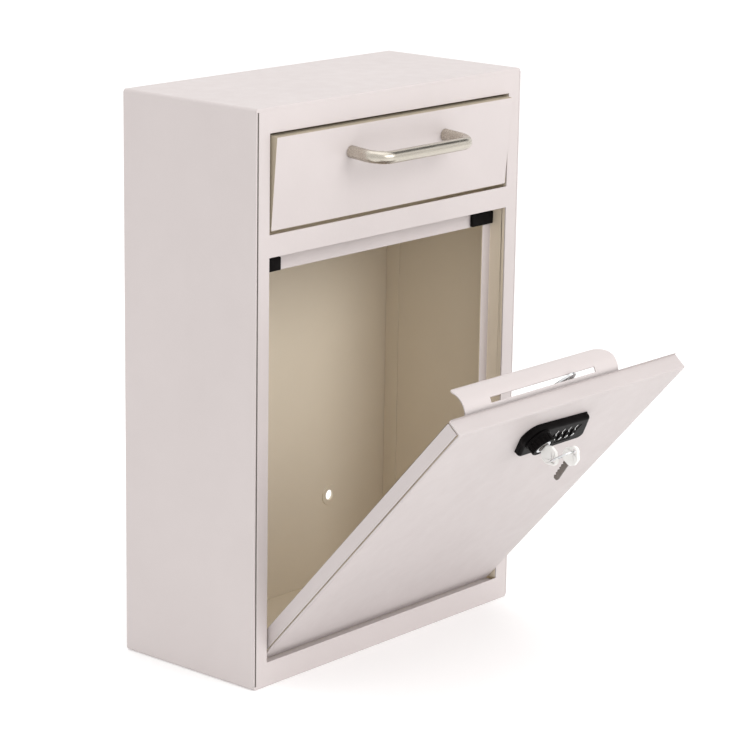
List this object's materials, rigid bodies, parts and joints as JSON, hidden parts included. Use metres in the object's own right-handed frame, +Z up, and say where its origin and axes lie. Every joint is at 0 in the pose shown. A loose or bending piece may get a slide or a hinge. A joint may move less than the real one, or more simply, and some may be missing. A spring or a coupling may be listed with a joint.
{
  "type": "wall-mounted book drop box",
  "caption": "Wall-mounted steel drop box with a tilt-out hopper flap over a drop-down door that carries a combination cam lock with key override.",
  "frame": {"origin": "centre of the back face, which is also the centre of the four wall holes", "axes": "+X to the right as seen from the front, +Y to the wall, +Z up"},
  "size_m": [0.286, 0.3124, 0.412],
  "materials": {
    "shell_paint": "orange-peel powder coat, satin",
    "inner_paint": "powder coat, satin",
    "black_rubber": "matte",
    "black_nylon": "matte",
    "black_steel": "blackened",
    "lock_black": "semi-gloss",
    "dial_black": "satin with white numbers",
    "zinc_steel": "zinc plated",
    "key_metal": "nickel plated",
    "key_plastic": "satin",
    "brushed_nickel": "brushed nickel"
  },
  "bodies": {
    "cabinet": {"body_wrap": "shell_paint", "back_panel": "inner_paint", "front_frame": "shell_paint", "jamb_left": "shell_paint", "jamb_right": "shell_paint", "stop_angle": "shell_paint", "bumper_left": "black_rubber", "bumper_right": "black_rubber", "door_pins": "black_steel", "flap_pins": "black_steel", "pin_clips": "zinc_steel"},
    "door": {"door_panel": "shell_paint", "latch_guard": "shell_paint", "door_bushes": "black_nylon", "lock_gasket": "black_rubber", "lock_housing": "lock_black", "lock_body": "zinc_steel", "dial_axle": "zinc_steel", "detent_spring": "zinc_steel", "lock_screws": "zinc_steel"},
    "knob": {"lock_knob": "lock_black", "lock_spindle": "zinc_steel", "cam_lever": "zinc_steel", "cam_washer": "zinc_steel", "cam_nut": "zinc_steel"},
    "master_key": {"key_plug": "key_metal", "master_key_blade": "key_metal", "master_key_head": "key_plastic"},
    "key_ring": {"key_ring": "zinc_steel"},
    "spare_key": {"spare_key_blade": "key_metal", "spare_key_head": "key_plastic"},
    "dial_1": {"dial_1": "dial_black"},
    "dial_2": {"dial_2": "dial_black"},
    "dial_3": {"dial_3": "dial_black"},
    "dial_4": {"dial_4": "dial_black"},
    "flap": {"flap_panel": "shell_paint", "flap_cheek_left": "shell_paint", "flap_cheek_right": "shell_paint", "hopper_floor": "inner_paint", "flap_bushes": "black_nylon", "pull_handle": "brushed_nickel", "handle_screws": "zinc_steel"}
  },
  "joints": [
    {"name": "door_hinge", "type": "hinge", "parent": "cabinet", "child": "door", "pos_m": [0, -0.119, -0.177], "axis": [1, 0, 0], "range_deg": [-41.5, 0]},
    {"name": "flap_hinge", "type": "hinge", "parent": "cabinet", "child": "flap", "pos_m": [0, -0.121, 0.125], "axis": [1, 0, 0], "range_deg": [-4.5, 45.5]},
    {"name": "knob_turn", "type": "hinge", "parent": "door", "child": "knob", "pos_m": [-0.0235, -0.27501, -0.01274], "axis": [0, -0.749, -0.6626], "range_deg": [-46, 44]},
    {"name": "key_turn", "type": "hinge", "parent": "knob", "child": "master_key", "pos_m": [-0.0235, -0.27501, -0.01274], "axis": [0, -0.749, -0.6626], "range_deg": [-90, 0]},
    {"name": "ring_swing", "type": "hinge", "parent": "master_key", "child": "key_ring", "pos_m": [-0.0235, -0.29313, -0.02877], "axis": [1, 0, 0], "range_deg": [-25, 25]},
    {"name": "spare_key_swing", "type": "hinge", "parent": "key_ring", "child": "spare_key", "pos_m": [-0.0205, -0.30828, -0.02003], "axis": [1, 0, 0], "range_deg": [-25, 12]},
    {"name": "dial_1_turn", "type": "hinge", "parent": "door", "child": "dial_1", "pos_m": [0.0015, -0.26665, -0.01736], "axis": [1, 0, 0], "continuous": true},
    {"name": "dial_2_turn", "type": "hinge", "parent": "door", "child": "dial_2", "pos_m": [0.0088, -0.26665, -0.01736], "axis": [1, 0, 0], "continuous": true},
    {"name": "dial_3_turn", "type": "hinge", "parent": "door", "child": "dial_3", "pos_m": [0.0161, -0.26665, -0.01736], "axis": [1, 0, 0], "continuous": true},
    {"name": "dial_4_turn", "type": "hinge", "parent": "door", "child": "dial_4", "pos_m": [0.0234, -0.26665, -0.01736], "axis": [1, 0, 0], "continuous": true}
  ]
}
